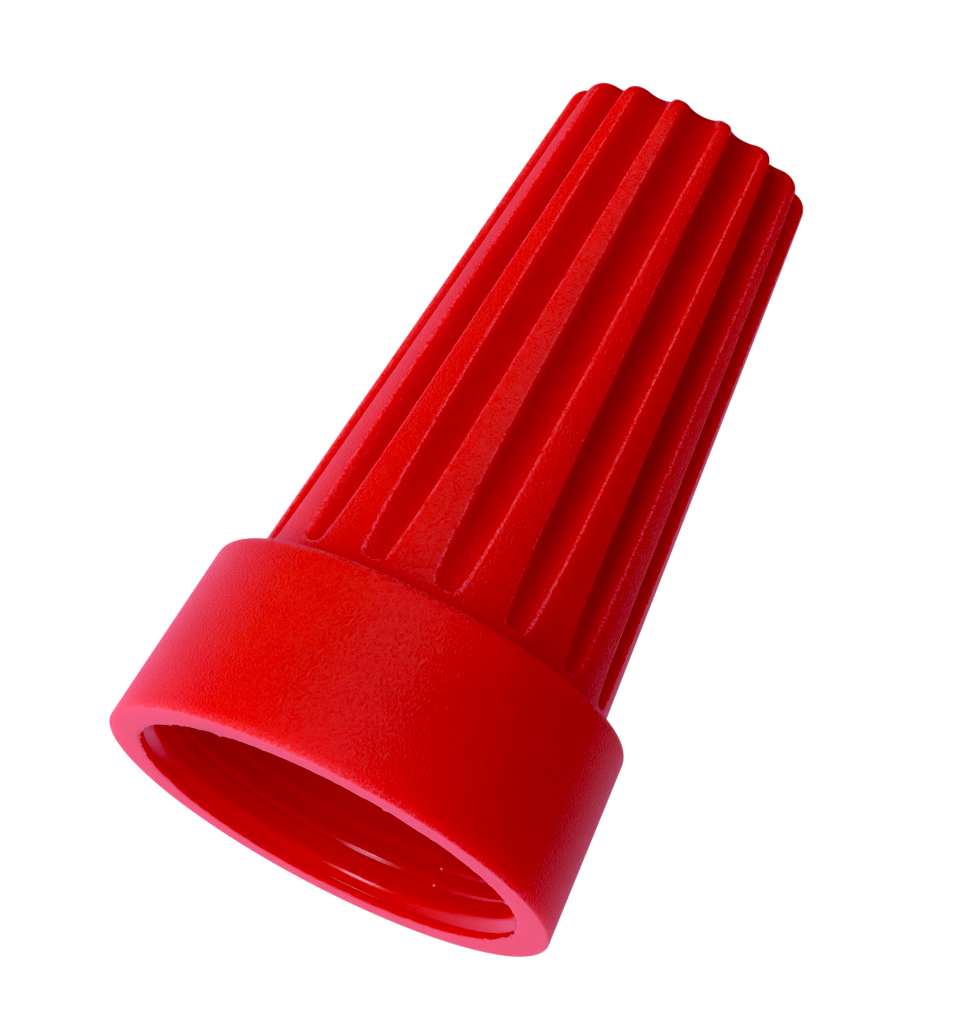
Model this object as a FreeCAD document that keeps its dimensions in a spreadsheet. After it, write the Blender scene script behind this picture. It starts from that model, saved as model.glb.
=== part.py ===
"""Twist-on wire connector: a fluted plastic shell over a conical square-wire spring.

The mouth faces down with its rim on the XY plane, the axis is +Z and the tip is up.
"""
import FreeCAD, Part
import Sketcher
import os

# Driving dimensions in millimetres, with angles in degrees. Each one is a spreadsheet cell.
DRIVING = {
    # outside of the shell
    "rim_radius": 8.5,
    "skirt_top_radius": 7.85,
    "skirt_height": 7.22,
    "cone_foot_radius": 6.75,
    "tip_radius": 4.53,
    "total_length": 28.1,
    "rim_edge_radius": 0.1,
    "shoulder_radius": 0.4,
    "foot_blend_radius": 0.4,
    "tip_edge_radius": 0.6,
    # grip flutes: each is the track of a round-nosed cutter
    "flute_count": 15,
    "flute_radius": 0.72,
    "flute_foot_height": 8.5,
    "flute_foot_depth": 0.3,
    "flute_tip_depth": 0.62,
    # stepped funnel inside the skirt
    "mouth_radius": 7.3,
    "mouth_land": 0.3,
    "first_ledge": 0.35,
    "ledge_width": 0.08,
    "ledge_pitch": 0.64,
    "funnel_top_height": 6.1,
    # throat, spring bore and blind end
    "throat_radius": 5.35,
    "throat_foot_height": 7.2,
    "throat_top_height": 9.2,
    "blind_end_radius": 2.9,
    "blind_end_height": 25.6,
    # square-wire spring, wound with a corner of the wire outwards
    "wire_side": 0.9,
    "spring_foot_height": 9.9,
    "spring_rise": 13.2,
    "spring_pitch": 1.36,
    "spring_foot_radius": 4.6,
    "spring_angle": 7.6,
    "spring_clearance": 0.03,
}

LEDGE_COUNT = 8
SAME_PLACE = 1e-4

# The sketcher's own numbers for its origin and axes, and for the points of a line or an arc.
ORIGIN = -1
HORIZONTAL_AXIS = -1
VERTICAL_AXIS = -2
START = 1
END = 2
CENTRE = 3

# Sizes that follow from the driving ones, written as spreadsheet expressions.
CONE_SLOPE = "(sizes.cone_foot_radius - sizes.tip_radius) / (sizes.total_length - sizes.skirt_height)"
LAND_AT_FLUTE_FOOT = f"sizes.cone_foot_radius - {CONE_SLOPE} * (sizes.flute_foot_height - sizes.skirt_height)"
FLUTE_FOOT_AXIS = f"({LAND_AT_FLUTE_FOOT} - sizes.flute_foot_depth + sizes.flute_radius)"
FLUTE_TIP_AXIS = "(sizes.tip_radius - sizes.flute_tip_depth + sizes.flute_radius)"
FLUTE_RISE = "(sizes.total_length - sizes.flute_foot_height)"
WIRE_CORNER = "(sizes.wire_side / sqrt(2))"
SPRING_STOP_HEIGHT = (
    f"(sizes.spring_foot_height + sizes.spring_rise + {WIRE_CORNER} + sizes.spring_clearance)"
)
SPRING_STOP_RADIUS = (
    f"(sizes.spring_foot_radius + {WIRE_CORNER} + sizes.spring_clearance"
    f" - tan(sizes.spring_angle * 1deg) * ({SPRING_STOP_HEIGHT} - sizes.spring_foot_height))"
)

document = FreeCAD.newDocument("wire_connector")
sheet = document.addObject("Spreadsheet::Sheet", "sizes")


def fill_sheet():
    """Write each driving dimension on a row of its own, with its name as the alias."""
    for row, (name, value) in enumerate(DRIVING.items(), start=1):
        sheet.set(f"A{row}", name)
        sheet.set(f"B{row}", str(value))
        sheet.setAlias(f"B{row}", name)
    document.recompute()


def value_of(expression):
    """Work out the present value of a spreadsheet expression."""
    return float(sheet.evalExpression(expression))


def new_body(label):
    """Add an empty body. Its label also names its STEP file."""
    body = document.addObject("PartDesign::Body", label)
    body.Label = label
    return body


def origin_feature(body, role):
    """Find one of a body's origin planes or axes by its role."""
    return next(feature for feature in body.Origin.OriginFeatures if feature.Role == role)


def new_sketch(body, name):
    """Add a sketch on the body's XZ plane, so that its x is the radius and its y the height."""
    sketch = body.newObject("Sketcher::SketchObject", name)
    sketch.AttachmentSupport = [(origin_feature(body, "XZ_Plane"), "")]
    sketch.MapMode = "FlatFace"
    return sketch


def bind_constraint(sketch, constraint, name, expression):
    """Add a named constraint whose size follows an expression."""
    index = sketch.addConstraint(constraint)
    sketch.renameConstraint(index, name)
    sketch.setExpression(f"Constraints.{name}", expression)


def bind_corner(sketch, line, name, expressions):
    """Tie the first end of a line to a (radius, height) pair of expressions."""
    directions = (("DistanceX", "radius", VERTICAL_AXIS), ("DistanceY", "height", HORIZONTAL_AXIS))
    for (kind, size, axis), expression in zip(directions, expressions):
        value = value_of(expression)
        if value == 0:
            sketch.addConstraint(Sketcher.Constraint("PointOnObject", line, START, axis))
        else:
            constraint = Sketcher.Constraint(kind, ORIGIN, START, line, START, value)
            bind_constraint(sketch, constraint, f"{name}_{size}", expression)


def outline_sketch(body, name, corners):
    """Draw a closed outline through corners given as (radius, height) expressions."""
    sketch = new_sketch(body, name)
    points = [
        FreeCAD.Vector(value_of(radius), value_of(height), 0)
        for radius, height in corners
    ]
    for start, end in zip(points, points[1:] + points[:1]):
        sketch.addGeometry(Part.LineSegment(start, end), False)
    for line in range(len(points)):
        following = (line + 1) % len(points)
        sketch.addConstraint(Sketcher.Constraint("Coincident", line, END, following, START))
    for line, corner in enumerate(corners):
        bind_corner(sketch, line, f"corner_{line}", corner)
    return sketch


def turn_outline(body, kind, name, sketch, axis):
    """Revolve a sketch through a full turn, adding or removing material."""
    feature = body.newObject(f"PartDesign::{kind}", name)
    feature.Profile = sketch
    feature.ReferenceAxis = axis
    feature.Angle = 360
    document.recompute()
    return feature


def ring_edge(feature, radius, height):
    """Name the circular edge of a feature that has this radius and height."""
    for number, edge in enumerate(feature.Shape.Edges, start=1):
        if not isinstance(edge.Curve, Part.Circle):
            continue
        height_error = abs(edge.Curve.Center.z - value_of(height))
        radius_error = abs(edge.Curve.Radius - value_of(radius))
        if max(height_error, radius_error) < SAME_PLACE:
            return f"Edge{number}"
    raise ValueError(f"no ring of radius {radius} at {height}")


def round_ring(body, base, name, radius, height, fillet_radius):
    """Round one circular edge with a fillet bound to its cell."""
    fillet = body.newObject("PartDesign::Fillet", name)
    fillet.Base = (base, [ring_edge(base, radius, height)])
    fillet.setExpression("Radius", fillet_radius)
    document.recompute()
    return fillet


def shell_blank(body):
    """Turn the outside of the shell as a solid and round its four rings."""
    corners = [
        ("0", "0"),
        ("sizes.rim_radius", "0"),
        ("sizes.skirt_top_radius", "sizes.skirt_height"),
        ("sizes.cone_foot_radius", "sizes.skirt_height"),
        ("sizes.tip_radius", "sizes.total_length"),
        ("0", "sizes.total_length"),
    ]
    sketch = outline_sketch(body, "shell_outline", corners)
    solid = turn_outline(body, "Revolution", "shell_solid", sketch, (origin_feature(body, "Z_Axis"), [""]))
    rings = [
        ("rim_edge", "sizes.rim_radius", "0", "sizes.rim_edge_radius"),
        ("shoulder", "sizes.skirt_top_radius", "sizes.skirt_height", "sizes.shoulder_radius"),
        ("foot_blend", "sizes.cone_foot_radius", "sizes.skirt_height", "sizes.foot_blend_radius"),
        ("tip_edge", "sizes.tip_radius", "sizes.total_length", "sizes.tip_edge_radius"),
    ]
    for name, radius, height, fillet_radius in rings:
        solid = round_ring(body, solid, name, radius, height, fillet_radius)


def flute_sketch(body):
    """Draw half of the round-nosed cutter, standing on the slanted axis of one flute."""
    sketch = new_sketch(body, "flute_cutter")
    sketch.setExpression(".AttachmentOffset.Base.x", FLUTE_FOOT_AXIS)
    sketch.setExpression(".AttachmentOffset.Base.y", "sizes.flute_foot_height")
    sketch.setExpression(
        ".AttachmentOffset.Rotation.Angle",
        f"atan(({FLUTE_FOOT_AXIS} - {FLUTE_TIP_AXIS}) / {FLUTE_RISE})",
    )
    radius = DRIVING["flute_radius"]
    length = DRIVING["total_length"]
    nose = FreeCAD.Vector(0, -radius, 0)
    side = FreeCAD.Vector(radius, 0, 0)
    side_end = FreeCAD.Vector(radius, length, 0)
    axis_end = FreeCAD.Vector(0, length, 0)
    nose_middle = FreeCAD.Vector(radius, -radius, 0) / 2 ** 0.5
    sketch.addGeometry(Part.Arc(nose, nose_middle, side), False)
    sketch.addGeometry(Part.LineSegment(side, side_end), False)
    sketch.addGeometry(Part.LineSegment(side_end, axis_end), False)
    sketch.addGeometry(Part.LineSegment(axis_end, nose), False)
    nose_arc, side_line, end_line, axis_line = range(4)
    constraints = [
        ("Coincident", nose_arc, CENTRE, ORIGIN, START),
        ("Tangent", nose_arc, END, side_line, START),
        ("Coincident", side_line, END, end_line, START),
        ("Coincident", end_line, END, axis_line, START),
        ("Coincident", axis_line, END, nose_arc, START),
        ("Vertical", side_line),
        ("Horizontal", end_line),
        ("Vertical", axis_line),
    ]
    for constraint in constraints:
        sketch.addConstraint(Sketcher.Constraint(*constraint))
    nose_size = Sketcher.Constraint("Radius", nose_arc, radius)
    bind_constraint(sketch, nose_size, "nose_radius", "sizes.flute_radius")
    cutter_length = Sketcher.Constraint("DistanceY", ORIGIN, START, end_line, END, length)
    bind_constraint(sketch, cutter_length, "cutter_length", "sizes.total_length")
    return sketch


def cut_flutes(body):
    """Cut one flute up the cone and repeat it round the axis."""
    sketch = flute_sketch(body)
    document.recompute()
    flute = turn_outline(body, "Groove", "flute", sketch, (sketch, ["V_Axis"]))
    pattern = body.newObject("PartDesign::PolarPattern", "flutes")
    pattern.Originals = [flute]
    pattern.Axis = (origin_feature(body, "Z_Axis"), [""])
    pattern.Angle = 360
    pattern.setExpression("Occurrences", "sizes.flute_count")
    body.Tip = pattern
    document.recompute()


def funnel_corners():
    """Step the funnel inwards by one chamfered ledge to each pitch of height."""
    radius = "sizes.mouth_radius"
    height = "sizes.mouth_land"
    width = "sizes.first_ledge"
    corners = [(radius, "0")]
    for number in range(LEDGE_COUNT + 1):
        corners.append((radius, height))
        radius = f"{radius} - {width}"
        corners.append((radius, f"{height} + {width}"))
        height = f"sizes.mouth_land + {number + 1} * sizes.ledge_pitch"
        width = "sizes.ledge_width"
    corners.append((radius, "sizes.funnel_top_height"))
    return corners


def hollow_shell(body):
    """Turn out the funnel, the throat, the spring's bore with its stop, and the blind end."""
    corners = [("0", "0")] + funnel_corners() + [
        ("sizes.throat_radius", "sizes.throat_foot_height"),
        ("sizes.throat_radius", "sizes.throat_top_height"),
        (SPRING_STOP_RADIUS, SPRING_STOP_HEIGHT),
        ("sizes.blind_end_radius", SPRING_STOP_HEIGHT),
        ("sizes.blind_end_radius", "sizes.blind_end_height"),
        ("0", "sizes.blind_end_height"),
    ]
    sketch = outline_sketch(body, "bore_outline", corners)
    turn_outline(body, "Groove", "bore", sketch, (origin_feature(body, "Z_Axis"), [""]))


def build_shell():
    """Build the one-piece moulded plastic shell."""
    body = new_body("shell")
    shell_blank(body)
    cut_flutes(body)
    hollow_shell(body)
    return body


def build_spring():
    """Wind the square wire up a cone, from the throat to the stop."""
    body = new_body("spring")
    corners = [
        (f"sizes.spring_foot_radius + {WIRE_CORNER}", "sizes.spring_foot_height"),
        ("sizes.spring_foot_radius", f"sizes.spring_foot_height + {WIRE_CORNER}"),
        (f"sizes.spring_foot_radius - {WIRE_CORNER}", "sizes.spring_foot_height"),
        ("sizes.spring_foot_radius", f"sizes.spring_foot_height - {WIRE_CORNER}"),
    ]
    sketch = outline_sketch(body, "wire_section", corners)
    coil = body.newObject("PartDesign::AdditiveHelix", "coil")
    coil.Profile = sketch
    coil.ReferenceAxis = (origin_feature(body, "Z_Axis"), [""])
    coil.Mode = "pitch-height-angle"
    coil.setExpression("Pitch", "sizes.spring_pitch")
    coil.setExpression("Height", "sizes.spring_rise")
    coil.setExpression("Angle", "-sizes.spring_angle")
    document.recompute()
    return body


def check_document():
    """Stop if any object failed to build."""
    for item in document.Objects:
        if "Invalid" in item.State or "Error" in item.State:
            raise RuntimeError(f"{item.Label} failed: {item.State}")


def write_parts(bodies):
    """Check each body's solid and write it to a STEP file named after it."""
    os.makedirs("parts", exist_ok=True)
    for body in bodies:
        shape = body.Shape
        if shape.isNull() or not shape.isValid() or len(shape.Solids) != 1:
            raise RuntimeError(f"{body.Label} is not one valid solid")
        shape.exportStep(f"parts/{body.Label}.step")
        print(body.Label, "volume", round(shape.Volume, 1), "mm3")


fill_sheet()
connector = [build_shell(), build_spring()]
document.recompute()
check_document()
write_parts(connector)
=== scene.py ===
"""Looks of the twist-on wire connector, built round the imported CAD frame.

The shell and the spring are finer meshes of their CAD nodes: the flutes get rounded edges, the
mouth its helical ledges and flash, and the spring's wire its rounded corners. The outlines are in
millimetres, and mesh_object turns them into metres.
"""
import math
import bpy
import numpy as np
from mathutils import Matrix, Vector


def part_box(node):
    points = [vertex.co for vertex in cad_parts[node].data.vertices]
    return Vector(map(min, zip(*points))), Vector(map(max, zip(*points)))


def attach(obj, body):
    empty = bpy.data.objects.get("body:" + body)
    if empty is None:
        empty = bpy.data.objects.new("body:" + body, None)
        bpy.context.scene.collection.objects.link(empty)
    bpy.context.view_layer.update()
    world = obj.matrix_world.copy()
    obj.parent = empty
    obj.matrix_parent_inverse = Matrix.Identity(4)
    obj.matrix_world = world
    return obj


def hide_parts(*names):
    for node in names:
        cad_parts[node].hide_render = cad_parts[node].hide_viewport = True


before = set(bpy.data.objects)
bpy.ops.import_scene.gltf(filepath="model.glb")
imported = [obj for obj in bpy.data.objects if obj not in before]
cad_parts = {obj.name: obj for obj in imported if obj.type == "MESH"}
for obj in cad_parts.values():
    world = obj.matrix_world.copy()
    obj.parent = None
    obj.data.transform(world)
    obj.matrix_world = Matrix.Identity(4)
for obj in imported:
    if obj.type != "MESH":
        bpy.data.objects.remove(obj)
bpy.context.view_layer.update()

MM = 0.001

# Outside of the shell. The length comes from the frame.
TOTAL_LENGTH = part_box("shell")[1].z / MM
RIM_RADIUS = 8.495
SKIRT_TOP_RADIUS = 7.85
SKIRT_HEIGHT = 7.22
CONE_FOOT_RADIUS = 6.75
TIP_RADIUS = 4.53
RIM_EDGE = 0.08
SHOULDER_EDGE = 0.4
FOOT_BLEND = 0.4
TIP_EDGE = 0.6
CONE_START = 7.7
TIP_BAND_INSET = 0.1
TIP_DISH_RADIUS = 2.6
TIP_DISH_DEPTH = 0.25
TIP_DISH_FLARE = 0.25
GATE_RADIUS = 0.55
GATE_HEIGHT = 0.12
GATE_TAPER = 0.06

# Grip flutes, each the track of a round-nosed cutter.
FLUTE_COUNT = 15
FLUTE_RADIUS = 0.72
FLUTE_DEPTH = 0.6
FLUTE_NOSE_HEIGHT = 8.02
FLUTE_NOSE_SQUASH = 0.5
FLUTE_RUNOUT_HEIGHT = 6.6
FLUTE_RUNOUT_LENGTH = 3.4
FLUTE_EDGE = 0.05
FLUTE_EDGE_AT_TIP = 0.2
TIP_SOFTENING_HEIGHT = 3.0

# Pale pink on the edges, partly wear and partly painted highlight, with a little everywhere as speckled
# painted glints: how far it reaches from them, and its amount as a share of full pink.
EDGE_WEAR_AND_HIGHLIGHT_WIDTH = 0.09
CORNER_WEAR_AND_HIGHLIGHT_WIDTH = 0.3
CORNER_WEAR_AND_HIGHLIGHT = 0.6
WEAR_AND_GLINTS_EVERYWHERE = 0.07

# Inside of the shell.
MOUTH_RADIUS = 7.3
MOUTH_LAND = 0.3
FIRST_LEDGE = 0.35
PLAIN_WALL = 0.3
FUNNEL_TOP_HEIGHT = 6.1
FUNNEL_TOP_RADIUS = 6.3
FUNNEL_TOP_STEP = 0.1
LEDGE_START = 1.3
LEDGE_PITCH = 0.64
LEDGE_DEPTH = 0.08
LEDGE_WIDTH = 0.17
LEDGE_SOFTENING = 1.5
SEAM_ANGLE = math.radians(51)
SEAM_JOG = 0.14
SEAM_JOG_SPREAD = 0.9
SEAM_HEIGHT = 0.05
SEAM_HALF_WIDTH = 0.12
SEAM_FINE_WAVE = 7.3
SEAM_BROAD_WAVE = 3.1
FLASH_HEIGHT = 0.13
FLASH_LEAST = 0.03
FLASH_BROAD = 0.05
FLASH_FINE = 0.04
FLASH_ROUNDING = 0.03
RIM_FACE_INSET = 0.2
THROAT_RADIUS = 5.35
THROAT_FOOT = 7.2
THROAT_TOP = 9.2
SPRING_STOP_RADIUS = 3.42
SPRING_STOP_HEIGHT = 23.77
BLIND_END_RADIUS = 2.9
BLIND_END_HEIGHT = 25.6

# Spring.
WIRE_SIDE = 0.9
WIRE_EDGE = 0.09
SPRING_FOOT_HEIGHT = 9.9
SPRING_RISE = 13.2
SPRING_PITCH = 1.36
SPRING_FOOT_RADIUS = 4.6
SPRING_SLOPE = math.tan(math.radians(7.6))

# Mesh columns over half a flute and half the land beside it, where they crowd to the flute.
HALF_FLUTE_COLUMNS = 10
HALF_LAND_COLUMNS = 6
COLUMNS = FLUTE_COUNT * 2 * (HALF_FLUTE_COLUMNS + HALF_LAND_COLUMNS)
NARROWEST_HALF_FLUTE = 0.38
LAND_CROWDING = 1.8

# Mesh rows, closest over the flutes' noses and over the ledges by the mouth.
NOSE_ROWS_TOP = 8.3
NOSE_ROWS = 20
RUNOUT_ROWS_TOP = 10
RUNOUT_ROWS = 17
CONE_ROWS = 60
TIP_EDGE_ROWS = 13
FINE_LEDGES_TOP = 3
FINE_LEDGE_ROWS = 90
COARSE_LEDGE_ROWS = 40
SPRING_STEPS_PER_TURN = 72
SMALLEST_RING = 0.02

# Red plastic. Each trio is its cloudy depths, its bright parts and a paler red by the rim, a painted glow.
# The inside's trio is darker throughout as painted shade.
OUTSIDE_REDS = ((0.67, 0.021, 0.006, 1), (0.73, 0.026, 0.009, 1), (0.78, 0.023, 0.010, 1))
# The inside's reds are darker than the outside's as painted shade.
SHADED_INSIDE_REDS = ((0.52, 0.012, 0.004, 1), (0.58, 0.016, 0.005, 1), (0.68, 0.024, 0.007, 1))
# Painted shade: the flute floors are darkened towards this red.
FLUTE_FLOOR_SHADE_RED = (0.50, 0.006, 0.003, 1)
# Pale pink of the edges and of the speckle: partly scuffing, partly painted highlight.
SCUFF_AND_HIGHLIGHT_PINK = (0.88, 0.14, 0.20, 1)
PAINTED_RIM_GLOW_HEIGHT = 3.5
CLOUD_CELLS = 0.25
GRAIN_CELLS = 12.0
FLUTE_ROUGHNESS = 0.6
PLASTIC_IOR = 1.49
PLASTIC_GLOSS_TINT = (1.0, 0.8, 0.9, 1)
GLOW_DEPTH = 1.5
GLOW_DEPTH_BY_COLOUR = (1.0, 0.04, 0.02)

# Zinc plate.
DULL_ZINC = (0.50, 0.52, 0.55, 1)
BRIGHT_ZINC = (0.68, 0.69, 0.70, 1)
SPANGLE_CELLS = 1.6
SCRATCH_CELLS = 9.0
SCRATCH_DEPTH = 0.008

# Floor.
FLOOR_SIZE = 600.0
FLOOR_GLOW = 0.35

# Surroundings. The backdrop brightens between two cosines of the angle off its middle, and the
# table gives way to the room between two sines of the elevation.
BACKDROP_DIRECTION = Vector((-0.35, 1.0, -0.3)).normalized()
BACKDROP_EDGE = 0.3
BACKDROP_MIDDLE = 0.95
BACKDROP_LIGHT = 0.5
TABLE_TOP = -0.35
ROOM_FOOT = 0.25
LIGHT_FROM_BELOW = 0.47
LIGHT_FROM_ABOVE = 0.28
CAMERA_WHITE = 1.05

# How many times as strong the backdrop and the table are in gloss, and the tint that gloss takes.
REFLECTED_BACKDROP = 2.6
REFLECTED_TABLE = 0.3
REFLECTED_TINT = (1.0, 0.47, 1.0, 1)

# Lamps, with their distance and size in metres.
LAMP_DISTANCE = 0.4
SOFT_LAMP_SIZE = 0.3
GLOSS_LIGHT_COLOUR = (1.0, 0.75, 1.0)

# Camera: how far it is from the axis and below the rim, then its roll, its aim and its lens.
CAMERA_AZIMUTH = math.radians(-2.7)
CAMERA_RANGE = 246.6
CAMERA_DROP = 55.6
CAMERA_ROLL = math.radians(28.02)
AIM_HEIGHT = 12.79
AIM_SIDE = -0.3
LENS = 258.9
SENSOR_WIDTH = 36
CLIP_START_METRES = 0.01

# Faint green and blue are cut to nothing, which keeps the reds deep.
BLACK_LEVEL = (0.0, 0.03, 0.03)


# ---- outlines, as (radius, height) points in millimetres ----

def rounded_outline(corners, spacing):
    """Follow straight runs between (radius, height, fillet) corners, with an arc at each fillet."""
    points = [np.array(corners[0][:2], float)]
    for before, corner, after in zip(corners, corners[1:], corners[2:]):
        here = np.array(corner[:2], float)
        back = unit(np.array(before[:2]) - here)
        ahead = unit(np.array(after[:2]) - here)
        half_angle = math.acos(float(np.clip(back @ ahead, -1, 1))) / 2
        reach = corner[2] / math.tan(half_angle)
        start = here + back * reach
        end = here + ahead * reach
        points.extend(straight(points[-1], start, spacing))
        if corner[2] > 0:
            centre = here + unit(back + ahead) * corner[2] / math.sin(half_angle)
            points.extend(arc(centre, start, end))
    points.extend(straight(points[-1], np.array(corners[-1][:2], float), spacing))
    return np.array(points)


def unit(vector):
    """Scale a vector to length 1."""
    return vector / np.linalg.norm(vector)


def straight(start, end, spacing):
    """Points after start, up to and including end."""
    count = max(1, math.ceil(np.linalg.norm(end - start) / spacing))
    return [start + (end - start) * k / count for k in range(1, count + 1)]


def arc(centre, start, end, steps=8):
    """Points after start on the short arc to end."""
    first = start - centre
    last = end - centre
    angle = math.acos(float(np.clip(unit(first) @ unit(last), -1, 1)))
    turns = np.arange(1, steps + 1) / steps * angle
    return [
        centre + (first * math.sin(angle - turn) + last * math.sin(turn)) / math.sin(angle)
        for turn in turns
    ]


def spun(outline, angles):
    """Turn an outline into rings of (x, y, z) points, one ring to an outline point."""
    radius = outline[:, 0, None]
    height = np.broadcast_to(outline[:, 1, None], (len(outline), len(angles)))
    return np.stack([radius * np.cos(angles), radius * np.sin(angles), height], axis=-1)


# ---- flutes ----

def cone_radius(height):
    """Radius of the lands between the flutes."""
    slope = (CONE_FOOT_RADIUS - TIP_RADIUS) / (TOTAL_LENGTH - SKIRT_HEIGHT)
    return CONE_FOOT_RADIUS - slope * (height - SKIRT_HEIGHT)


def round_intersection(first, second, edge):
    """Combine two signed distances so that the edge where they meet is an arc."""
    outside = np.hypot(np.maximum(first + edge, 0), np.maximum(second + edge, 0))
    return np.minimum(np.maximum(first, second), -edge) + outside


def flute_track(height):
    """Radius to the cutter's axis, and how far below its nose a height is, squashed to suit it."""
    rise = np.maximum(height - FLUTE_RUNOUT_HEIGHT, 0)
    depth = FLUTE_DEPTH * (1 - np.exp(-rise / FLUTE_RUNOUT_LENGTH))
    below_nose = np.maximum(FLUTE_NOSE_HEIGHT - height, 0) / FLUTE_NOSE_SQUASH
    return cone_radius(height) - depth + FLUTE_RADIUS, below_nose


def flute_distance(radius, angle, height):
    """Signed distance to the nearest flute's cutter track, negative inside the track."""
    axis_radius, below_nose = flute_track(height)
    spacing = 2 * math.pi / FLUTE_COUNT
    folded = (angle + spacing / 2) % spacing - spacing / 2
    out = radius * np.cos(folded) - axis_radius
    side = radius * np.sin(folded)
    return np.sqrt(out ** 2 + side ** 2 + below_nose ** 2) - FLUTE_RADIUS


def flute_half_angle(height):
    """Half the angle that a flute takes out of the lands at a height."""
    axis_radius, below_nose = flute_track(height)
    land = cone_radius(height)
    section_squared = FLUTE_RADIUS ** 2 - below_nose ** 2
    cosine = (land ** 2 + axis_radius ** 2 - section_squared) / (2 * land * axis_radius)
    return np.maximum(np.arccos(np.minimum(cosine, 1)), NARROWEST_HALF_FLUTE / land)


def column_angles(heights):
    """Angles of the mesh columns at each height, so that columns run along the flutes' edges."""
    half_flute = flute_half_angle(heights)[:, None]
    half_spacing = math.pi / FLUTE_COUNT
    flute_share = np.sin(np.arange(1, HALF_FLUTE_COLUMNS + 1) / HALF_FLUTE_COLUMNS * math.pi / 2)
    land_share = (np.arange(1, HALF_LAND_COLUMNS + 1) / HALF_LAND_COLUMNS) ** LAND_CROWDING
    flute = half_flute * flute_share
    land = half_flute + (half_spacing - half_flute) * land_share
    half = np.concatenate([flute, land], axis=1)
    whole = np.concatenate([-half[:, -2::-1], np.zeros_like(half_flute), half], axis=1)
    return np.concatenate([whole + 2 * half_spacing * k for k in range(FLUTE_COUNT)], axis=1)


def flute_edge(height):
    """Radius of the rounding on a flute's edges, which grows near the tip."""
    tip_share = np.clip((height - TOTAL_LENGTH) / TIP_SOFTENING_HEIGHT + 1, 0, 1)
    return FLUTE_EDGE + (FLUTE_EDGE_AT_TIP - FLUTE_EDGE) * tip_share ** 2


def fluted_radius(angles, heights, halvings=20):
    """Radius of the fluted cone, found by closing in on where its signed distance is zero."""
    height = heights[:, None]
    land = cone_radius(height)
    edge = flute_edge(height)
    near = np.zeros_like(angles) + land - FLUTE_DEPTH - edge
    far = np.zeros_like(angles) + land + edge
    for _ in range(halvings):
        middle = (near + far) / 2
        cut = -flute_distance(middle, angles, height)
        inside = round_intersection(middle - land, cut, edge) < 0
        near = np.where(inside, middle, near)
        far = np.where(inside, far, middle)
    return near


def edge_wear_and_highlight(radius, angles, heights):
    """How much pale pink each point of the cone takes, partly wear and partly painted highlight: 1 on a
    flute's edge and 0 a short way off it.
    """
    height = heights[:, None]
    below_land = cone_radius(height) - radius
    off_flute = flute_distance(radius, angles, height)
    return np.clip(1 - np.hypot(below_land, off_flute) / EDGE_WEAR_AND_HIGHLIGHT_WIDTH, 0, 1)


def corner_wear_and_highlight(rings):
    """How much pale pink each point of the skirt takes, partly wear and partly painted highlight: most on
    its lower edge and over its shoulder.
    """
    radius = np.hypot(rings[..., 0], rings[..., 1])
    height = rings[..., 2]
    off_edge = np.hypot(radius - RIM_RADIUS, height)
    along = radius - (SKIRT_TOP_RADIUS - SHOULDER_EDGE)
    rise = height - (SKIRT_HEIGHT - SHOULDER_EDGE)
    round_fillet = np.abs(np.arctan2(rise, along) - math.pi / 4) * SHOULDER_EDGE
    off_fillet = np.abs(np.hypot(along, rise) - SHOULDER_EDGE)
    nearest = np.minimum(off_edge, round_fillet + off_fillet)
    return CORNER_WEAR_AND_HIGHLIGHT * np.clip(1 - nearest / CORNER_WEAR_AND_HIGHLIGHT_WIDTH, 0, 1)


def cone_surface():
    """Rings up the fluted cone and over the tip's edge, with how sunk each point is and how much wear and
    painted highlight it takes.
    """
    tilts = np.linspace(0, math.pi / 2, TIP_EDGE_ROWS + 1)[1:]
    heights = np.concatenate([
        np.linspace(CONE_START, NOSE_ROWS_TOP, NOSE_ROWS, endpoint=False),
        np.linspace(NOSE_ROWS_TOP, RUNOUT_ROWS_TOP, RUNOUT_ROWS, endpoint=False),
        np.linspace(RUNOUT_ROWS_TOP, TOTAL_LENGTH - TIP_EDGE, CONE_ROWS),
        TOTAL_LENGTH - TIP_EDGE + TIP_EDGE * np.sin(tilts),
    ])
    setback = np.zeros_like(heights)
    setback[-len(tilts):] = TIP_EDGE * (1 - np.cos(tilts))
    angles = column_angles(heights)
    radius = fluted_radius(angles, heights)
    sunk = np.clip((cone_radius(heights)[:, None] - radius) / FLUTE_DEPTH, 0, 1)
    wear_and_highlight = edge_wear_and_highlight(radius, angles, heights)
    radius = radius - setback[:, None]
    height = heights[:, None] + np.zeros_like(angles)
    rings = np.stack([radius * np.cos(angles), radius * np.sin(angles), height], axis=-1)
    return rings, sunk, wear_and_highlight


def tip_rings(angles):
    """Rings over the top: a flat band, a shallow dish and the stub of the moulding gate."""
    floor = TOTAL_LENGTH - TIP_DISH_DEPTH
    outline = rounded_outline([
        (cone_radius(TOTAL_LENGTH) - TIP_EDGE - FLUTE_DEPTH - TIP_BAND_INSET, TOTAL_LENGTH, 0),
        (TIP_DISH_RADIUS + TIP_DISH_FLARE, TOTAL_LENGTH, 0.15),
        (TIP_DISH_RADIUS, floor, 0.12),
        (GATE_RADIUS, floor, 0.03),
        (GATE_RADIUS - GATE_TAPER, floor + GATE_HEIGHT, 0.03),
        (SMALLEST_RING, floor + GATE_HEIGHT, 0),
    ], spacing=0.3)
    return spun(outline, angles)


# ---- mouth and bore ----

def wobble(angles, seed, waves):
    """A smooth random curve round the axis, between about -1 and 1."""
    random = np.random.default_rng(seed)
    total = np.zeros_like(angles)
    for wave in waves:
        total += random.normal() * np.sin(wave * angles + random.uniform(0, 2 * math.pi))
    return total / math.sqrt(len(waves))


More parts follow.
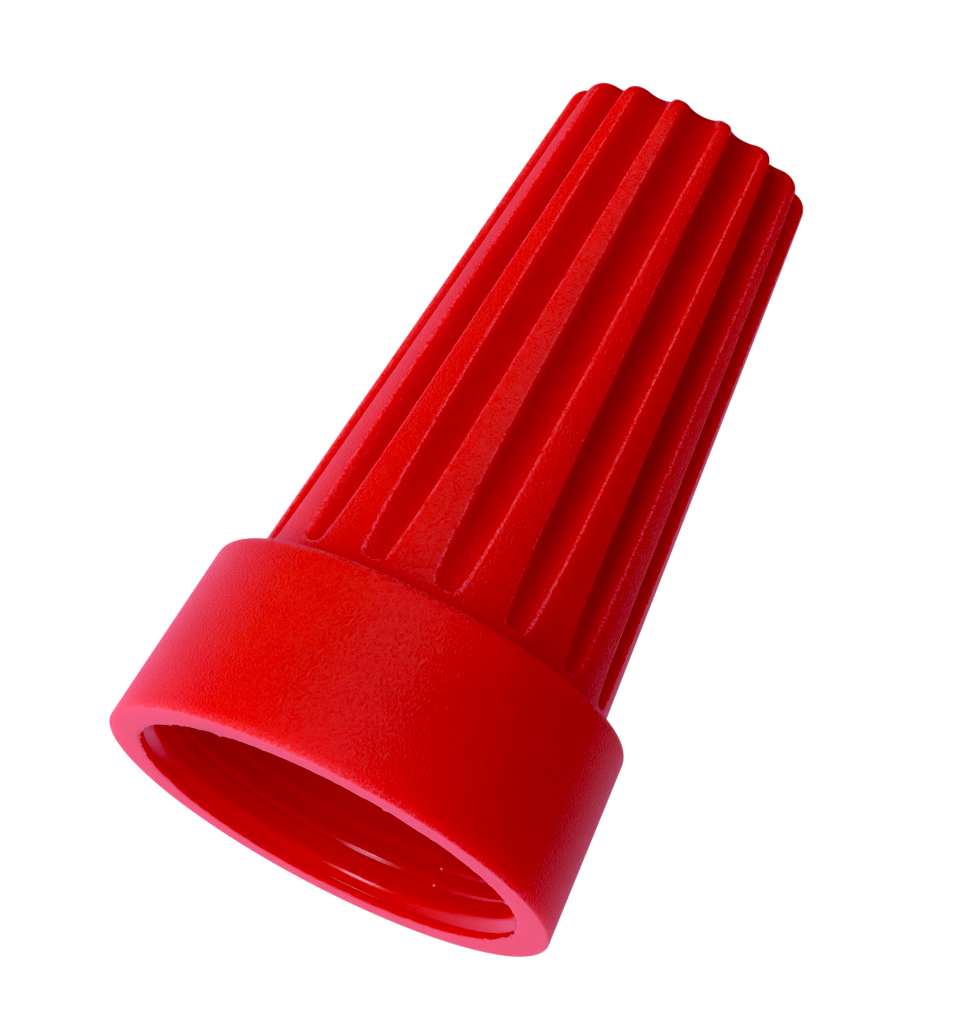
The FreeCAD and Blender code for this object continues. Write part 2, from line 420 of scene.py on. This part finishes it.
def flash_reach(angles):
    """How far the ragged flash on the mouth's edge stands in from it."""
    broad = np.maximum(wobble(angles, seed=3, waves=range(5, 40, 4)), 0)
    fine = np.maximum(wobble(angles, seed=4, waves=range(41, 120, 7)), 0)
    return FLASH_LEAST + FLASH_BROAD * broad ** 1.5 + FLASH_FINE * fine ** 2


def ledge_inset(angles, height):
    """How far the helical ledges have stepped in from the first wall of the funnel."""
    past_seam = (angles - SEAM_ANGLE) % (2 * math.pi)
    jog = SEAM_JOG * np.exp(-past_seam / SEAM_JOG_SPREAD)
    climb = np.maximum(height, LEDGE_START) - LEDGE_START - jog
    turns = climb / LEDGE_PITCH - past_seam / (2 * math.pi) + 1
    width = LEDGE_WIDTH * (1 + LEDGE_SOFTENING * np.maximum(np.floor(turns) - 1, 0))
    step = np.clip((turns % 1) * LEDGE_PITCH / width, 0, 1)
    return LEDGE_DEPTH * (np.floor(turns) + step * step * (3 - 2 * step))


def seam_ridge(angles, height):
    """Height of the flash left where the core's two halves met."""
    off_seam = np.abs((angles - SEAM_ANGLE + math.pi) % (2 * math.pi) - math.pi)
    ragged = 0.5 + 0.5 * np.sin(SEAM_FINE_WAVE * height) * np.sin(SEAM_BROAD_WAVE * height + 1)
    return SEAM_HEIGHT * ragged * np.clip(1 - off_seam * MOUTH_RADIUS / SEAM_HALF_WIDTH, 0, 1)


def funnel_rings(angles):
    """Rings from the top of the funnel down to the inner edge of the rim."""
    wall_foot = MOUTH_LAND + FIRST_LEDGE
    wall_radius = MOUTH_RADIUS - FIRST_LEDGE
    wall_start = wall_foot + PLAIN_WALL
    heights = np.concatenate([
        np.linspace(FUNNEL_TOP_HEIGHT, FINE_LEDGES_TOP, COARSE_LEDGE_ROWS, endpoint=False),
        np.linspace(FINE_LEDGES_TOP, wall_start, FINE_LEDGE_ROWS, endpoint=False),
    ])
    height = heights[:, None] + np.zeros_like(angles)
    fade = np.clip((height - wall_start) / (LEDGE_START - wall_start), 0, 1)
    radius = wall_radius - ledge_inset(angles, height) * fade - seam_ridge(angles, height)
    rings = np.stack([radius * np.cos(angles), radius * np.sin(angles), height], axis=-1)
    ledge = rounded_outline([
        (wall_radius, wall_start, 0),
        (wall_radius, wall_foot, 0.4),
        (MOUTH_RADIUS, MOUTH_LAND, 0.05),
        (MOUTH_RADIUS, FLASH_HEIGHT, 0),
    ], spacing=0.08)
    return np.concatenate([rings, spun(ledge, angles), lip_rings(angles)])


def lip_rings(angles):
    """Rings over the ragged flash at the mouth's edge."""
    lip_height = np.array([0.07, 0.03])
    lip_share = np.array([0.6, 1.0])
    radius = MOUTH_RADIUS - flash_reach(angles) * lip_share[:, None]
    height = lip_height[:, None] + np.zeros_like(angles)
    return np.stack([radius * np.cos(angles), radius * np.sin(angles), height], axis=-1)


def bore_rings(angles):
    """Rings from the blind end down past the spring's stop and the throat to the funnel."""
    outline = rounded_outline([
        (SMALLEST_RING, BLIND_END_HEIGHT, 0),
        (BLIND_END_RADIUS, BLIND_END_HEIGHT, 0.5),
        (BLIND_END_RADIUS, SPRING_STOP_HEIGHT, 0.05),
        (SPRING_STOP_RADIUS, SPRING_STOP_HEIGHT, 0.05),
        (THROAT_RADIUS, THROAT_TOP, 0.3),
        (THROAT_RADIUS, THROAT_FOOT, 0.3),
        (FUNNEL_TOP_RADIUS, FUNNEL_TOP_HEIGHT + FUNNEL_TOP_STEP, 0),
    ], spacing=0.5)
    return spun(outline, angles)


def rim_rings(inner_angles, outer_angles):
    """Rings across the flat rim, from its ragged inner edge to the foot of the cone."""
    inner_radius = MOUTH_RADIUS - flash_reach(inner_angles) + FLASH_ROUNDING
    inner = np.stack([
        inner_radius * np.cos(inner_angles),
        inner_radius * np.sin(inner_angles),
        np.zeros_like(inner_angles),
    ], axis=-1)
    outline = rounded_outline([
        (MOUTH_RADIUS + RIM_FACE_INSET, 0, 0),
        (RIM_RADIUS, 0, RIM_EDGE),
        (SKIRT_TOP_RADIUS, SKIRT_HEIGHT, SHOULDER_EDGE),
        (CONE_FOOT_RADIUS, SKIRT_HEIGHT, FOOT_BLEND),
        (cone_radius(CONE_START), CONE_START, 0),
    ], spacing=0.3)
    return np.concatenate([inner[None], spun(outline[:-1], outer_angles)])


# ---- meshes ----

def mesh_object(name, points, faces):
    """Make a smooth-shaded object from points in millimetres."""
    mesh = bpy.data.meshes.new(name)
    mesh.from_pydata((points * MM).tolist(), [], faces)
    mesh.shade_smooth()
    mesh.update()
    piece = bpy.data.objects.new(name, mesh)
    bpy.context.scene.collection.objects.link(piece)
    return piece


def closed_rings(name, rings):
    """Join rings into one closed surface, with a point closing each end."""
    rows, columns = rings.shape[:2]
    points = rings.reshape(-1, 3)
    ends = np.array([rings[0].mean(axis=0), rings[-1].mean(axis=0)])
    faces = []
    for row in range(rows - 1):
        for column in range(columns):
            following = (column + 1) % columns
            low = row * columns
            high = low + columns
            faces.append((low + column, low + following, high + following, high + column))
    first_end = rows * columns
    last_end = first_end + 1
    last_row = first_end - columns
    for column in range(columns):
        following = (column + 1) % columns
        faces.append((first_end, following, column))
        faces.append((last_end, last_row + column, last_row + following))
    return mesh_object(name, np.concatenate([points, ends]), faces)


def mark_points(piece, name, first, values):
    """Store a number on each point of a mesh: the values from the first point given, and 0 elsewhere."""
    numbers = np.zeros(len(piece.data.vertices), dtype=np.float32)
    numbers[first:first + values.size] = values.ravel()
    piece.data.attributes.new(name, "FLOAT", "POINT").data.foreach_set("value", numbers)


def build_shell():
    """Model the moulded shell as one closed surface, from the blind end out and up to the tip."""
    cone, sunk, wear_and_highlight = cone_surface()
    outer_angles = column_angles(np.array([CONE_START]))[0]
    inner_angles = outer_angles[0] + np.arange(COLUMNS) * 2 * math.pi / COLUMNS
    inside = [bore_rings(inner_angles), funnel_rings(inner_angles)]
    rim = rim_rings(inner_angles, outer_angles)
    shell = closed_rings("moulded_shell", np.concatenate(inside + [rim, cone, tip_rings(inner_angles)]))
    inner_points = sum(len(rings) for rings in inside) * COLUMNS
    mark_points(shell, "sunk", inner_points + len(rim) * COLUMNS, sunk)
    mark_points(shell, "wear_and_highlight", inner_points, np.concatenate([corner_wear_and_highlight(rim), wear_and_highlight]))
    for material in (grained_plastic(), smooth_plastic()):
        shell.data.materials.append(material)
    slots = np.zeros(len(shell.data.polygons), dtype=np.int32)
    slots[:inner_points] = 1
    shell.data.polygons.foreach_set("material_index", slots)
    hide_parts("shell")
    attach(shell, "root")


def wire_section():
    """Outline the square wire, standing on a corner, with its corners rounded."""
    reach = WIRE_SIDE / math.sqrt(2)
    corner_angles = -np.arange(4) * math.pi / 2
    inset = reach - WIRE_EDGE * math.sqrt(2)
    section = []
    for corner_angle in corner_angles:
        centre = inset * np.array([math.cos(corner_angle), math.sin(corner_angle)])
        for tilt in np.linspace(math.pi / 4, -math.pi / 4, 4):
            outward = np.array([math.cos(corner_angle + tilt), math.sin(corner_angle + tilt)])
            section.append(centre + outward * WIRE_EDGE)
    return np.array(section)


def build_spring():
    """Wind the square wire up its cone."""
    section = wire_section()
    steps = math.ceil(SPRING_RISE / SPRING_PITCH * SPRING_STEPS_PER_TURN)
    rings = []
    for step in range(steps + 1):
        rise = SPRING_RISE * step / steps
        angle = 2 * math.pi * rise / SPRING_PITCH
        radius = SPRING_FOOT_RADIUS - SPRING_SLOPE * rise + section[:, 0]
        height = SPRING_FOOT_HEIGHT + rise + section[:, 1]
        rings.append(np.stack([radius * math.cos(angle), radius * math.sin(angle), height], axis=-1))
    spring = closed_rings("coil_spring", np.array(rings))
    spring.data.materials.append(zinc_plated_steel())
    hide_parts("spring")
    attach(spring, "root")


# ---- materials ----

class Nodes:
    """Short calls for building the node tree of a material or world."""

    def __init__(self, owner):
        owner.use_nodes = True
        self.tree = owner.node_tree

    def add(self, kind, **settings):
        """Add a node and set its properties and its unlinked inputs."""
        node = self.tree.nodes.new(kind)
        for key, value in settings.items():
            if hasattr(node, key):
                setattr(node, key, value)
            else:
                node.inputs[key].default_value = value
        return node

    def link(self, source, target):
        """Join an output to an input."""
        self.tree.links.new(source, target)


class MaterialNodes(Nodes):
    """The node tree of a new material, with its shader and its output at hand."""

    def __init__(self, name):
        self.material = bpy.data.materials.new(name)
        super().__init__(self.material)
        self.shader = self.tree.nodes["Principled BSDF"]
        self.output = self.tree.nodes["Material Output"]


def noise(nodes, place, cells_per_mm, detail=2.0, roughness=0.5):
    """A noise texture whose grain is sized in cells to a millimetre."""
    texture = nodes.add("ShaderNodeTexNoise", Scale=cells_per_mm / MM, Detail=detail, Roughness=roughness)
    nodes.link(place.outputs["Object"], texture.inputs["Vector"])
    return texture


def remap(nodes, source, low, high, start=0.3, end=0.7):
    """Map an output from start..end to low..high. By default start..end is a noise's usual range."""
    ranged = nodes.add("ShaderNodeMapRange")
    for name, value in (("From Min", start), ("From Max", end), ("To Min", low), ("To Max", high)):
        ranged.inputs[name].default_value = value
    nodes.link(source, ranged.inputs["Value"])
    return ranged.outputs["Result"]


def colour_between(nodes, factor, first, second):
    """Blend by a factor from a colour, or an output that carries one, to a second colour."""
    mix = nodes.add("ShaderNodeMix", data_type="RGBA")
    if isinstance(first, tuple):
        mix.inputs["A"].default_value = first
    else:
        nodes.link(first, mix.inputs["A"])
    mix.inputs["B"].default_value = second
    nodes.link(factor, mix.inputs["Factor"])
    return mix.outputs["Result"]


def number_between(nodes, factor, first, second):
    """Blend by a factor from an output that carries a number to a second number."""
    mix = nodes.add("ShaderNodeMix", data_type="FLOAT")
    nodes.link(first, mix.inputs["A"])
    mix.inputs["B"].default_value = second
    nodes.link(factor, mix.inputs["Factor"])
    return mix.outputs["Result"]


def product(nodes, first, second):
    """Multiply two outputs."""
    node = nodes.add("ShaderNodeMath", operation="MULTIPLY")
    nodes.link(first, node.inputs[0])
    nodes.link(second, node.inputs[1])
    return node.outputs["Value"]


def bump(nodes, source, depth):
    """Raise a bump of a given depth in millimetres."""
    node = nodes.add("ShaderNodeBump", Strength=1.0, Distance=depth * MM)
    nodes.link(source, node.inputs["Height"])
    return node.outputs["Normal"]


def point_mark(nodes, name):
    """The number stored on the mesh's points under a name."""
    return nodes.add("ShaderNodeAttribute", attribute_name=name).outputs["Fac"]


def rim_nearness(nodes, place, reach):
    """How near the rim a point is: 1 on it, and 0 from a height of reach millimetres up."""
    parts = nodes.add("ShaderNodeSeparateXYZ")
    nodes.link(place.outputs["Object"], parts.inputs["Vector"])
    return remap(nodes, parts.outputs["Z"], low=1, high=0, start=0, end=reach * MM)


def red_colour(nodes, place, grain, flute_floor, reds):
    """Cloudy red, darkened in the flute floors as painted shade, paler towards the rim as a painted glow,
    and speckled pale pink where worn and where painted highlights lie.
    """
    deep, bright, painted_rim_glow = reds
    cloudy = noise(nodes, place, CLOUD_CELLS, detail=3.0)
    colour = colour_between(nodes, remap(nodes, cloudy.outputs["Fac"], 0, 1), deep, bright)
    # Painted glow: paler towards the rim, as light through it would make it.
    colour = colour_between(nodes, rim_nearness(nodes, place, PAINTED_RIM_GLOW_HEIGHT), colour, painted_rim_glow)
    # Painted shade darkens the flute floors.
    colour = colour_between(nodes, flute_floor, colour, FLUTE_FLOOR_SHADE_RED)
    # Pale pink speckle on the edges and faintly everywhere: partly wear, partly painted highlights and
    # glints.
    speckle = remap(nodes, grain, low=0.1, high=1, start=0.4, end=0.6)
    wear_and_highlight = remap(nodes, point_mark(nodes, "wear_and_highlight"), low=WEAR_AND_GLINTS_EVERYWHERE, high=1, start=0, end=1)
    return colour_between(nodes, product(nodes, wear_and_highlight, speckle), colour, SCUFF_AND_HIGHLIGHT_PINK)


def red_plastic(name, reds, grain_depth, shiniest, dullest):
    """Moulded red polypropylene: grained, and shinier on the grain's tops than in its pits."""
    nodes = MaterialNodes(name)
    place = nodes.add("ShaderNodeTexCoord")
    grain = noise(nodes, place, GRAIN_CELLS, detail=1.0).outputs["Fac"]
    # The flute floors take painted shade in their colour and a rougher finish.
    flute_floor = remap(nodes, point_mark(nodes, "sunk"), low=0, high=1, start=0.1, end=1)
    roughness = number_between(nodes, flute_floor, remap(nodes, grain, dullest, shiniest), FLUTE_ROUGHNESS)
    nodes.link(red_colour(nodes, place, grain, flute_floor, reds), nodes.shader.inputs["Base Color"])
    nodes.link(roughness, nodes.shader.inputs["Roughness"])
    nodes.link(bump(nodes, grain, grain_depth), nodes.shader.inputs["Normal"])
    nodes.shader.inputs["IOR"].default_value = PLASTIC_IOR
    nodes.shader.inputs["Specular Tint"].default_value = PLASTIC_GLOSS_TINT
    nodes.shader.inputs["Subsurface Weight"].default_value = 1.0
    nodes.shader.inputs["Subsurface Radius"].default_value = GLOW_DEPTH_BY_COLOUR
    nodes.shader.inputs["Subsurface Scale"].default_value = GLOW_DEPTH * MM
    return nodes.material


def grained_plastic():
    """The outside, moulded against a spark-eroded cavity."""
    return red_plastic("red_plastic_grained", OUTSIDE_REDS, grain_depth=0.045, shiniest=0.36, dullest=0.38)


def smooth_plastic():
    """The inside, moulded against a polished core, with reds darkened as painted shade."""
    return red_plastic("red_plastic_smooth", SHADED_INSIDE_REDS, grain_depth=0.004, shiniest=0.18, dullest=0.27)


def zinc_plated_steel():
    """Drawn spring wire with a bright zinc plate."""
    nodes = MaterialNodes("zinc_plated_steel")
    place = nodes.add("ShaderNodeTexCoord")
    spangle = noise(nodes, place, SPANGLE_CELLS, detail=3.0).outputs["Fac"]
    scratches = noise(nodes, place, SCRATCH_CELLS, detail=4.0, roughness=0.7).outputs["Fac"]
    colour = colour_between(nodes, remap(nodes, spangle, 0, 1), DULL_ZINC, BRIGHT_ZINC)
    nodes.link(colour, nodes.shader.inputs["Base Color"])
    nodes.link(remap(nodes, scratches, low=0.22, high=0.42), nodes.shader.inputs["Roughness"])
    nodes.link(bump(nodes, scratches, SCRATCH_DEPTH), nodes.shader.inputs["Normal"])
    nodes.shader.inputs["Metallic"].default_value = 1.0
    return nodes.material


# ---- stage, light and camera ----

def build_floor():
    """Lay a pale floor under the rim. It shows from above and is clear from below."""
    half = FLOOR_SIZE / 2
    corners = np.array([(-half, -half, 0), (half, -half, 0), (half, half, 0), (-half, half, 0)])
    floor = mesh_object("floor", corners, [(0, 1, 2, 3)])
    nodes = MaterialNodes("pale_floor")
    nodes.shader.inputs["Base Color"].default_value = (0.9, 0.9, 0.9, 1)
    nodes.shader.inputs["Roughness"].default_value = 0.8
    nodes.shader.inputs["Emission Color"].default_value = (1, 1, 1, 1)
    nodes.shader.inputs["Emission Strength"].default_value = FLOOR_GLOW
    side = nodes.add("ShaderNodeNewGeometry")
    clear = nodes.add("ShaderNodeBsdfTransparent")
    mix = nodes.add("ShaderNodeMixShader")
    nodes.link(side.outputs["Backfacing"], mix.inputs["Fac"])
    nodes.link(nodes.shader.outputs["BSDF"], mix.inputs[1])
    nodes.link(clear.outputs["BSDF"], mix.inputs[2])
    nodes.link(mix.outputs["Shader"], nodes.output.inputs["Surface"])
    floor.data.materials.append(nodes.material)
    floor.visible_shadow = False
    floor.visible_diffuse = False
    floor.visible_glossy = False
    floor.visible_transmission = False


def studio_world():
    """Plain white to the camera, and to the object a pale table, a bright backdrop and a dim room."""
    world = bpy.data.worlds.new("studio")
    bpy.context.scene.world = world
    world.cycles.sampling_method = "NONE"
    nodes = Nodes(world)
    path = nodes.add("ShaderNodeLightPath")
    gloss = path.outputs["Is Glossy Ray"]
    direction = nodes.add("ShaderNodeTexCoord").outputs["Generated"]
    facing = nodes.add("ShaderNodeVectorMath", operation="DOT_PRODUCT")
    facing.inputs[1].default_value = BACKDROP_DIRECTION
    nodes.link(direction, facing.inputs[0])
    backdrop = remap(nodes, facing.outputs["Value"], 0, BACKDROP_LIGHT, BACKDROP_EDGE, BACKDROP_MIDDLE)
    height = nodes.add("ShaderNodeSeparateXYZ")
    nodes.link(direction, height.inputs["Vector"])
    table = remap(nodes, height.outputs["Z"], LIGHT_FROM_BELOW, LIGHT_FROM_ABOVE, TABLE_TOP, ROOM_FOOT)
    light = nodes.add("ShaderNodeMath", operation="ADD")
    nodes.link(product(nodes, backdrop, remap(nodes, gloss, 1, REFLECTED_BACKDROP, 0, 1)), light.inputs[0])
    nodes.link(product(nodes, table, remap(nodes, gloss, 1, REFLECTED_TABLE, 0, 1)), light.inputs[1])
    strength = nodes.add("ShaderNodeMapRange")
    strength.inputs["To Max"].default_value = CAMERA_WHITE
    nodes.link(path.outputs["Is Camera Ray"], strength.inputs["Value"])
    nodes.link(light.outputs["Value"], strength.inputs["To Min"])
    background = nodes.tree.nodes["Background"]
    nodes.link(strength.outputs["Result"], background.inputs["Strength"])
    nodes.link(colour_between(nodes, gloss, (1, 1, 1, 1), REFLECTED_TINT), background.inputs["Color"])


def area_light(name, azimuth, elevation, size, power):
    """Hang a square light, aimed at the object. Azimuth 0 is the camera's side of it."""
    light = bpy.data.lights.new(name, "AREA")
    light.size = size
    light.energy = power
    lamp = bpy.data.objects.new(name, light)
    bpy.context.scene.collection.objects.link(lamp)
    turn = math.radians(azimuth) + CAMERA_AZIMUTH
    rise = math.radians(elevation)
    outward = Vector((math.sin(turn) * math.cos(rise), -math.cos(turn) * math.cos(rise), math.sin(rise)))
    lamp.location = Vector((0, 0, TOTAL_LENGTH / 2 * MM)) + outward * LAMP_DISTANCE
    lamp.rotation_mode = "QUATERNION"
    lamp.rotation_quaternion = (-outward).to_track_quat("-Z", "Y")
    lamp.visible_camera = False
    return lamp


def build_camera():
    """Set the camera below the rim's plane, looking up past the mouth, rolled clockwise."""
    turn = Matrix.Rotation(CAMERA_AZIMUTH, 3, "Z")
    place = turn @ Vector((0, -CAMERA_RANGE, -CAMERA_DROP))
    aim = turn @ Vector((AIM_SIDE, 0, AIM_HEIGHT))
    ahead = (aim - place).normalized()
    right = ahead.cross(Vector((0, 0, 1))).normalized()
    up = right.cross(ahead)
    level = Matrix((right, up, -ahead)).transposed()
    rolled = level @ Matrix.Rotation(CAMERA_ROLL, 3, "Z")
    camera = bpy.data.objects.new("camera", bpy.data.cameras.new("camera"))
    camera.data.lens = LENS
    camera.data.sensor_width = SENSOR_WIDTH
    camera.data.clip_start = CLIP_START_METRES
    camera.matrix_world = Matrix.Translation(place * MM) @ rolled.to_4x4()
    bpy.context.scene.collection.objects.link(camera)
    bpy.context.scene.camera = camera
    bpy.context.view_layer.update()


def soft_light(name, azimuth, elevation, power):
    """Hang a light that brightens surfaces without showing in their gloss."""
    area_light(name, azimuth, elevation, SOFT_LAMP_SIZE, power).visible_glossy = False


def gloss_light(name, azimuth, elevation, size, power):
    """Hang a light that shows in the gloss of surfaces and nowhere else."""
    lamp = area_light(name, azimuth, elevation, size, power)
    lamp.visible_diffuse = False
    lamp.data.color = GLOSS_LIGHT_COLOUR


def light_studio():
    """Light from the left and below, in a dim room with a bright backdrop."""
    soft_light("key", azimuth=-41, elevation=8, power=0.54)
    soft_light("low_key", azimuth=-44, elevation=-35, power=0.66)
    soft_light("under", azimuth=0, elevation=-80, power=0.38)
    soft_light("back_right", azimuth=118, elevation=8, power=0.23)
    soft_light("back_left", azimuth=-112, elevation=8, power=0.28)
    soft_light("top_left", azimuth=-45, elevation=50, power=0.12)
    gloss_light("front_sheen", azimuth=-4, elevation=25, size=0.13, power=0.24)
    gloss_light("left_sheen", azimuth=-34, elevation=25, size=0.13, power=0.19)
    gloss_light("right_sheen", azimuth=132, elevation=20, size=0.18, power=0.06)
    gloss_light("low_sheen", azimuth=-31, elevation=-42, size=0.12, power=0.9)
    studio_world()


def set_tones():
    """Show colours as they are, apart from the black level."""
    view = bpy.context.scene.view_settings
    view.view_transform = "Standard"
    view.use_curve_mapping = True
    view.curve_mapping.black_level = BLACK_LEVEL


build_camera()
light_studio()
build_floor()
build_shell()
build_spring()
set_tones()
